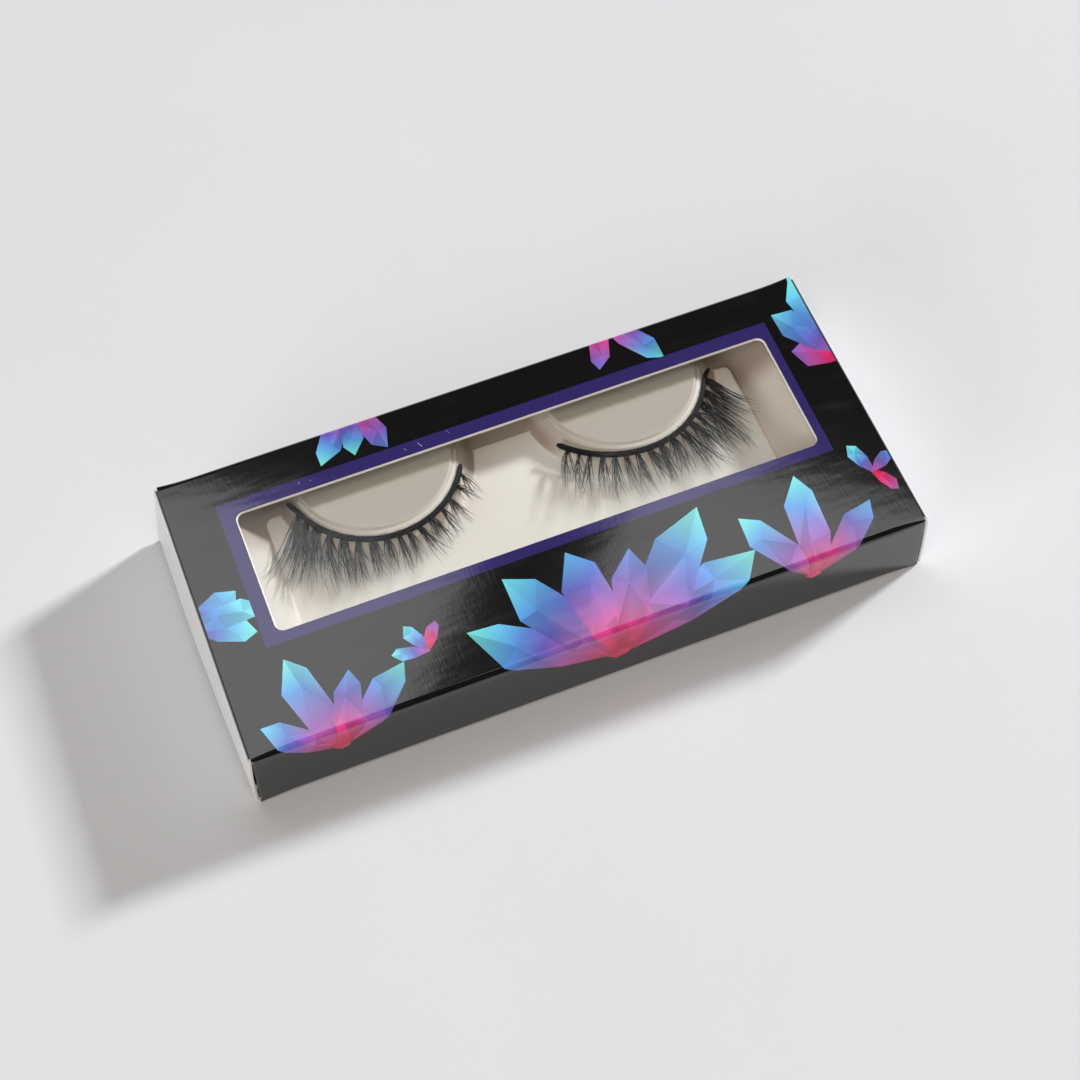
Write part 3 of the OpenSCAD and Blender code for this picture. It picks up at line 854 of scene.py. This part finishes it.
film = new_piece("film_sheet", top_points + low_points, faces, [film_material()])
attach(film, "carton")
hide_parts("window_film")
print("film is", round(film_high.x - film_low.x, 1), "mm long")

# %% [markdown]
# ## Formed insert
# The insert is thin sheet drawn down over a mould while hot, so every inner corner is soft and no
# wall is upright. It can be described as a height over the plan: a recess with leaning walls, and
# two half-moon mounts that stand in it against the back wall. Rings of points along each feature
# keep its edges true, and a soft maximum joins mount and wall as the sheet would.

# %% Heights of the insert
FLOOR = 8.0
RECESS_CORE = (38.8, 15.7)    # the recess and the insert are grown from two rectangles
INSERT_CORE = (50.7, 21.4)
INSERT_Y = -0.2
MOUNTS = ((-21.2, 19.8), (21.2, 19.8))
WALL_FOOT, WALL_TOP, WALL_SLOPE = 1.521, 6.883, 1.0444
GROOVE_AT = 1.42


def ramp(x, soft):
    """0 below 0 and x above it, turning within soft of 0."""
    return np.where(x < -soft, 0, np.where(x > soft, x, (x + soft) ** 2 / (4 * soft)))


def from_core(x, y, core):
    """Distance from a rectangle about the insert's middle."""
    return np.hypot(np.maximum(np.abs(x) - core[0], 0),
                    np.maximum(np.abs(y - INSERT_Y) - core[1], 0))


def mount_height(r):
    """A mount's top, its ledge's edge and the slope that carries the lash, r from its middle."""
    return (11.5 - 1.6 * ramp(r - 13.05, 0.14) + 1.236 * ramp(r - 13.3, 0.12)
            - 0.73 * ramp(r - 13.85, 0.12))


def soft_max(a, b, k):
    """The larger of the two, with the corner between them filled within k."""
    return np.maximum(a, b) + np.maximum(k - np.abs(a - b), 0) ** 2 / (4 * k)


def insert_height(x, y):
    """The sheet's height over the plan. A fine groove runs round the foot of the recess's wall."""
    d = from_core(x, y, RECESS_CORE)
    z = FLOOR + WALL_SLOPE * (ramp(d - WALL_FOOT, 0.35) - ramp(d - WALL_TOP, 0.55))
    deep = 0.08 + 0.42 * np.clip((x - 15) / 20, 0, 1)
    z = z - deep * np.exp(-((d - GROOVE_AT) / 0.12) ** 2)
    for mx, my in MOUNTS:
        z = soft_max(z, mount_height(np.hypot(x - mx, y - my)), 0.55)
    return z

# %% Points that follow the insert's features
def ring_round(core, radius, gap):
    """Points round a rectangle with round corners, at even steps on each side."""
    ring = []
    for k, (sx, sy) in enumerate(((1, 1), (-1, 1), (-1, -1), (1, -1))):
        for a in np.linspace(k * math.pi / 2, (k + 1) * math.pi / 2, 9):
            ring.append((sx * core[0] + radius * math.cos(a),
                         sy * core[1] + radius * math.sin(a) + INSERT_Y))
        ax, ay = ring[-1]
        run = (-sx * 2 * core[0], 0) if k % 2 == 0 else (0, -sy * 2 * core[1])
        count = int(2 * core[k % 2] / gap)
        ring += [(ax + run[0] * i / count, ay + run[1] * i / count) for i in range(1, count)]
    return ring


WALL_RINGS = (0.8, 1.1, 1.2, 1.28, 1.35, 1.42, 1.49, 1.56, 1.64, 1.74, 1.9, 2.4, 3.4, 4.4, 5.4,
              6.3, 6.55, 6.8, 7.05, 7.3, 7.55)
MOUNT_RINGS = (12.0, 12.6, 12.85, 12.95, 13.05, 13.15, 13.22, 13.3, 13.38, 13.5, 13.7, 13.78,
               13.85, 13.92, 14.0, 14.4, 14.9, 15.4, 15.8, 16.1, 16.3, 16.5, 16.7, 16.95, 17.3)
wall_points = [p for r in WALL_RINGS for p in ring_round(RECESS_CORE, r, 0.9)]
inside = []
for mx, my in MOUNTS:
    for r in MOUNT_RINGS:
        for a in np.arange(-112, 112.1, 1.4):
            x, y = mx + r * math.sin(math.radians(a)), my - r * math.cos(math.radians(a))
            if from_core(x, y, RECESS_CORE) < 6.2:
                inside.append((x, y))
xs, ys = np.meshgrid(np.arange(-50, 50.1, 2.0), np.arange(-21, 21.1, 2.0))
inside += zip(xs.ravel(), ys.ravel())

# %% More points where a mount meets the wall, and the plan
xs, ys = np.meshgrid(np.arange(-39.9, 39.9, 0.42), np.arange(15.2, 21.5, 0.42))
for x, y in zip(xs.ravel(), ys.ravel()):
    wall = FLOOR + WALL_SLOPE * ramp(from_core(x, y, RECESS_CORE) - WALL_FOOT, 0.35)
    top = max(mount_height(math.hypot(x - mx, y - my)) for mx, my in MOUNTS)
    if abs(wall - top) < 1.0:
        inside.append((x, y))
inside = [p for p in inside if abs(from_core(*p, RECESS_CORE) - GROOVE_AT) > 0.5]
edge = ring_round(INSERT_CORE, 1.9, 2.0)
flat, triangles, _ = cut(edge, [], [], [], extra=wall_points + inside)
print("insert plan has", len(flat), "points")

# %% The sheet and its skirt
# Each ring of the skirt is a radius and a height. At both ends, where the tuck flaps lie, it has
# no skirt below SKIRT_OPEN.
SKIRT = [(2.1, 13.585), (2.25, 13.54), (2.38, 13.46), (2.48, 13.34), (2.55, 13.18), (2.6, 12.9),
         (2.74, 8.5), (2.878, 4.2), (3.0, 0.42)]
SHEET = 0.4
SKIRT_OPEN = 4


def skin_of(flat, triangles):
    """Points and faces of the insert's outside: the plan raised to its heights, and the skirt."""
    heights = insert_height(flat[:, 0], flat[:, 1])
    points = [(x, y, z) for (x, y), z in zip(flat, heights)]
    faces = [tuple(t) for t in triangles]
    lookup = {(round(x, 3), round(y, 3)): k for k, (x, y) in enumerate(flat)}
    previous = [lookup[(round(x, 3), round(y, 3))] for x, y in edge]
    for radius, z in SKIRT:
        ring = ring_round(INSERT_CORE, radius, 2.0)
        open_end = [abs(x) > 53.2 and abs(y) < 23.4 for x, y in ring]
        current = []
        for k, (x, y) in enumerate(ring):
            if z < SKIRT_OPEN and open_end[k]:
                current.append(previous[k])
            else:
                current.append(len(points))
                points.append((x, y, z))
        for k in range(len(ring)):
            a, b = previous[k - 1], previous[k]
            c, d = current[k], current[k - 1]
            corners = [a, b] + [v for v in (c, d) if v not in (a, b)]
            if len(corners) > 2:
                faces.append(tuple(corners))
        previous = current
    return np.array(points), faces

# %% Thickness of the sheet
def thicken(points, faces, thick):
    """Adds the inner side of a sheet and closes its edges."""
    mesh = bpy.data.meshes.new("draft")
    mesh.from_pydata([tuple(p) for p in points], [], faces)
    mesh.update()
    normals = np.array([tuple(v.normal) for v in mesh.vertices])
    bpy.data.meshes.remove(mesh)
    n = len(points)
    _, rim = open_edges(faces)
    return (np.vstack([points, points - normals * thick]),
            faces + [tuple(n + k for k in f[::-1]) for f in faces]
            + [(b, a, n + a, n + b) for a, b in sorted(rim)])

# %% [markdown]
# The sheet is warm white and satin, with the faint tooth that a mould leaves. Its colour also holds
# painted shade: the mounts are coloured greyer, and the steep walls greyer and browner, most of all
# in the painted shadow on the back walls under the top panel and on the left end's wall, which the
# key lamp lights most. Distances from the mounts' middles, the slope and the place on the sheet each
# give a mask for that painted shade.

# %% Insert
def formed_sheet():
    material, place = start("formed_insert")
    cloud = noise(place, 9.0, 3.0)
    tooth = noise(place, 0.22, 3.0, 0.6)
    white = (0.7 * cloud + 0.3 * tooth).step(0.3, 0.7).blend((0.92, 0.875, 0.795, 1),
                                                             (0.95, 0.915, 0.845, 1))
    # Painted shade: each mount's top is coloured darker than the floor, and its ledge and slope a
    # little less.
    mount_shade = 0.0
    for mount in MOUNTS:
        away = place.node("VectorMath", {"operation": "DISTANCE"}, out=1, i0=place,
                          i1=(*mount, 11.5))
        mount_shade = (1.0 - 0.65 * away.step(12.8, 13.2) - 0.35 * away.step(14.4, 16.2)) + mount_shade
    # Painted shade: steep walls away from the mounts are coloured darker and warmer.
    facing = place.node("TexCoord", out=1)
    upright = facing.node("SeparateXYZ", out=2, Vector=facing)
    steep_wall_shade = (1.0 - upright).step(0.0, 0.16) * (1.0 - mount_shade).step(0.0, 1.0)
    along = place.node("SeparateXYZ", Vector=place)
    # Painted shadow on the back walls under the top panel's back edge, and darker paint on the left
    # end's wall, where the key lamp falls most.
    back = place.node("SeparateXYZ", out=1, Vector=place).step(8.5, 14.0)
    left = (0.0 - along).step(39.5, 42.0)
    painted_wall_shade = back.blend(left.blend((0.86, 0.77, 0.67, 1), (0.66, 0.615, 0.54, 1)),
                       (0.42, 0.33, 0.265, 1))
    # The painted mount shade lies over the painted wall shade and the sheet's white.
    colour = mount_shade.blend(steep_wall_shade.blend(white, painted_wall_shade), (0.54, 0.49, 0.42, 1))
    shader = place.node("BsdfPrincipled", Base_Color=colour, Roughness=0.42 + 0.12 * tooth,
                        Normal=bump(tooth, 0.006))
    return end(material, shader)


a, b, c = flat[list(triangles[0])]
if np.cross(b - a, c - a) < 0:
    triangles = [t[::-1] for t in triangles]
points, faces = thicken(*skin_of(flat, triangles), SHEET)
insert = new_piece("insert_sheet", points, faces, [formed_sheet()])
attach(insert, "carton")
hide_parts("insert")
print("insert_sheet", len(faces), "faces")

# %% [markdown]
# ## Lashes
# A strip lash is a thin black band with hairs tied into it. The band lies on the slope of its
# mount, held by a clear tacky strip. A sweep of a small rounded section along the mount's curve
# makes both, and a fine ripple on the band's section is the thread that is wound round it.

# %% Along the mount's slope
SLOPE_TOP = np.array([13.85, 10.9])
DOWN_SLOPE = np.array([2.65, -2.9]) / math.hypot(2.65, 2.9)
OFF_SLOPE = np.array([-DOWN_SLOPE[1], DOWN_SLOPE[0]])
# reach is how far round the mount, in degrees, the band goes to its inner and its outer end, off
# how far its inner end stands away, more how far it runs on, and hook how far its tip turns out.
LASHES = {
    "left": dict(sign=-1, reach=(65, 75), off=0.0, more=0.035, hook=0.25),
    "right": dict(sign=1, reach=(58, 74), off=1.4, more=0.005, hook=0.8),
}


def loose(lash, u):
    """How far the band stands away from its mount, towards its inner end."""
    return lash["off"] * max(0, 1 - u / 0.44) ** 2


def on_slope(lash, u, p, q, r_more=0.0, turn=0.0):
    """A point p down the slope and q off it, at the share u of the band from its inner end."""
    angle = math.radians(-lash["reach"][0] + sum(lash["reach"]) * u + turn)
    r, z = SLOPE_TOP + DOWN_SLOPE * p + OFF_SLOPE * q
    r += loose(lash, u) + r_more
    mx, my = MOUNTS[1]
    return np.array([lash["sign"] * (mx + r * math.sin(angle)), my - r * math.cos(angle), z])


def sweep(name, rings, materials):
    """A closed skin over rings of points, with flat ends."""
    points = [p for ring in rings for p in ring]
    m = len(rings[0])
    faces = [(k * m + j, k * m + (j + 1) % m, (k + 1) * m + (j + 1) % m, (k + 1) * m + j)
             for k in range(len(rings) - 1) for j in range(m)]
    faces += [tuple(range(m))[::-1], tuple(range(len(points) - m, len(points)))]
    return new_piece(name, points, faces, materials)

# %% Band and adhesive
def band_material():
    material, place = start("lash_band")
    thread = noise(place, (0.3, 0.1, 0.1), 3.0)
    colour = thread.blend((0.004, 0.004, 0.0045, 1), (0.013, 0.012, 0.013, 1))
    shader = place.node("BsdfPrincipled", Base_Color=colour, Roughness=0.62 + 0.2 * thread,
                        Normal=bump(thread, 0.02), Specular_IOR_Level=0.3)
    return end(material, shader)


def adhesive_material():
    material, place = start("clear_adhesive")
    blots = noise(place, 0.7, 3.0)
    tacky = place.node("BsdfPrincipled", Base_Color=(0.86, 0.85, 0.82, 1),
                       Roughness=0.15 + 0.2 * blots, Normal=bump(blots, 0.03))
    clear = place.node("BsdfTransparent", Color=(0.97, 0.97, 0.96, 1))
    opaque = 0.25 + 0.25 * blots.step(0.4, 0.7)
    return end(material, place.node("MixShader", i0=opaque, i1=clear, i2=tacky))

# %% Sections of the band and of the tacky strip
BAND_STEPS, TACK_STEPS = 260, 120


def swell(value, power):
    """A sine or cosine pushed out towards 1, which makes a circle boxier."""
    return math.copysign(abs(value) ** power, value)


def band_ring(lash, k):
    """The band's section at step k: slim at both ends, and rippled by its thread."""
    u = k / BAND_STEPS * (1 + lash["more"])
    ripple = 1 + 0.07 * math.sin(k * 1.9) + 0.05 * math.sin(k * 0.83)
    slim = min(1.0, 0.5 + 0.5 * min(k, BAND_STEPS - k) / 4)
    hook = lash["hook"] * max(0, (u - 0.93) / 0.07) ** 2
    return [on_slope(lash, u, 0.75 + 0.5 * slim * swell(math.cos(a), 0.6),
                     0.27 + 0.15 * ripple * swell(math.sin(a), 0.8), hook)
            for a in np.linspace(0, 2 * math.pi, 13)[:-1] * lash["sign"]]


def tack_ring(lash, k):
    """The tacky strip's section at step k. It is there only where the band lies on the mount."""
    first = 0.45 if lash["off"] else 0.01
    u = first + (0.99 - first) * k / TACK_STEPS
    wide = 0.55 + 0.08 * math.sin(k * 0.7) + 0.05 * math.sin(k * 1.7)
    return [on_slope(dict(lash, off=0), u, 0.75 + wide * math.cos(a), 0.06 + 0.055 * math.sin(a))
            for a in np.linspace(0, 2 * math.pi, 11)[:-1] * lash["sign"]]

# %% Bands and tacky strips
BAND_MATERIAL, ADHESIVE_MATERIAL = band_material(), adhesive_material()
for side, lash in LASHES.items():
    rings = [band_ring(lash, k) for k in range(BAND_STEPS + 1)]
    band = sweep(f"{side}_band_thread", rings, [BAND_MATERIAL])
    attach(band, "carton")
    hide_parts(f"{side}_lash_band")
    rings = [tack_ring(lash, k) for k in range(TACK_STEPS + 1)]
    tack = sweep(f"{side}_tack_strip", rings, [ADHESIVE_MATERIAL])
    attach(tack, "carton")
    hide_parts(f"{side}_lash_adhesive")
print("bands and tack strips made")

# %% [markdown]
# The hairs are tied in small tufts. They leave the band close together, cross a little, and end
# in fine points at many lengths, longest towards the outer corner of the eye. Each hair is a thin
# tapering tube along a curve, so that it has a true thickness and throws a true shadow.

# %% Where the hair tips reach
# Each pair is an angle from straight ahead, outwards, and the tips' greatest distance from the
# middle of the mount's circle.
TIPS = {
    "left": [(-60, 19.0), (-50, 20), (-40, 21), (-27, 21.3), (-18, 22.1), (0, 23.7), (15, 23.8),
             (32, 26.8), (52, 28), (59, 28), (66, 26)],
    "right": [(-56, 20.5), (-50, 22), (-45, 23.4), (-32, 25.6), (-27, 24.2), (-13, 24.7),
              (-3, 23.8), (7, 23.8), (16, 25.5), (22, 26.3), (33, 27.2), (42, 25.3), (53, 24.6),
              (60, 23)],
}
TUFTS = 16

# %% One hair
def hair_line(lash, u, length, spread, bow, rise, layer):
    """Points along one hair, in millimetres. It turns by spread in degrees up to its tip, bows
    sideways by bow, curls up by rise, and lies in one of three layers."""
    line = []
    for s in np.linspace(0, 1, 9):
        travel = s * length
        turn = spread * s ** 1.15 + bow * math.sin(math.pi * s)
        point = on_slope(lash, u, 1.2, 0.2 + 0.1 * layer, travel, turn)
        point[2] += layer * 0.28 * min(1, travel / 1.5) - 0.1 * travel + rise * travel * travel
        line.append(point)
    return np.array(line)


def tube(line, thick, points, faces, sides=4):
    """Adds a closed tube along a line, which tapers to a point."""
    base = len(points)
    for k, p in enumerate(line[:-1]):
        run = line[min(k + 1, len(line) - 1)] - line[max(k - 1, 0)]
        run /= np.linalg.norm(run)
        across = np.cross(run, (0, 0, 1))
        across /= np.linalg.norm(across)
        above = np.cross(across, run)
        share = k / (len(line) - 1)
        r = thick / 2 * (1 - 0.8 * share ** 1.3)
        for a in np.arange(sides) * 2 * math.pi / sides:
            points.append(p + r * (math.cos(a) * across + math.sin(a) * above))
    points.append(line[-1])
    rows = len(line) - 1
    for k in range(rows - 1):
        for j in range(sides):
            a, b = base + k * sides + j, base + k * sides + (j + 1) % sides
            faces.append((a, b, b + sides, a + sides))
    tip = len(points) - 1
    last = base + (rows - 1) * sides
    faces += [(last + j, last + (j + 1) % sides, tip) for j in range(sides)]
    faces.append(tuple(base + j for j in range(sides))[::-1])

# %% Hair material
def hair_material():
    material, place = start("lash_hair")
    tone = noise(place, 1.2, 2.0)
    colour = tone.step(0.35, 0.7).blend((0.006, 0.006, 0.0065, 1), (0.020, 0.018, 0.017, 1))
    streak = noise(place, (0.5, 0.05, 0.05), 2.0)
    shader = place.node("BsdfPrincipled", Base_Color=colour, Roughness=0.38 + 0.15 * streak,
                        Normal=bump(streak, 0.004))
    return end(material, shader)


def tuft_edges():
    """Shares of the band where one tuft ends and the next begins."""
    widths = chance.uniform(0.7, 1.3, TUFTS)
    return np.concatenate([[0], np.cumsum(widths) / widths.sum()]) * 0.96 + 0.02

# %% The hairs
# A tip lies nearer to straight ahead than its root, so a tuft fans less than the band turns. Six
# hairs in ten are short, and those by the outer corner bow inwards.
ROOT_R = 14.7
HAIR = hair_material()
for side, lash in LASHES.items():
    points, faces, count = [], [], 0
    tip_angle, tip_radius = np.array(TIPS[side]).T
    edges = tuft_edges()
    for low, high in zip(edges, edges[1:]):
        centre = (low + high) / 2
        half = (0.15 + 0.15 * centre) * (high - low)
        tuft_turn, tuft_scale = chance.normal(0, 2.0), chance.uniform(0.86, 1.05)
        for k in range(int((180 + 420 * centre) * (high - low)) + 3):
            across = chance.uniform(-1, 1)
            u = centre + across * half
            root = -lash["reach"][0] + sum(lash["reach"]) * u
            lean = (0.86 if root < 0 else 0.77) * root
            tip = lean + tuft_turn + across * 1.4 + chance.normal(0, 1.7)
            full = (np.interp(tip, tip_angle, tip_radius) - ROOT_R - loose(lash, u)) * tuft_scale
            share = chance.uniform(0.4, 0.72) if chance.random() < 0.6 else chance.uniform(0.72, 1.0)
            bow = chance.normal(0, 0.9) - 5.0 * max(0, u - 0.8) / 0.2
            rise = 0.022 + chance.uniform(-0.005, 0.005)
            line = hair_line(lash, u, share * full, tip - root, bow, rise, k % 3)
            tube(line, chance.uniform(0.09, 0.13) + 0.025 * centre, points, faces)
            count += 1
    hairs = new_piece(f"{side}_hair_tufts", points, faces, [HAIR])
    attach(hairs, "carton")
    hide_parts(f"{side}_lash_hairs")
    zs = np.array(points)[:, 2]
    print(side, "lash:", count, "hairs,", round(zs.min(), 2), "to", round(zs.max(), 2), "mm high")
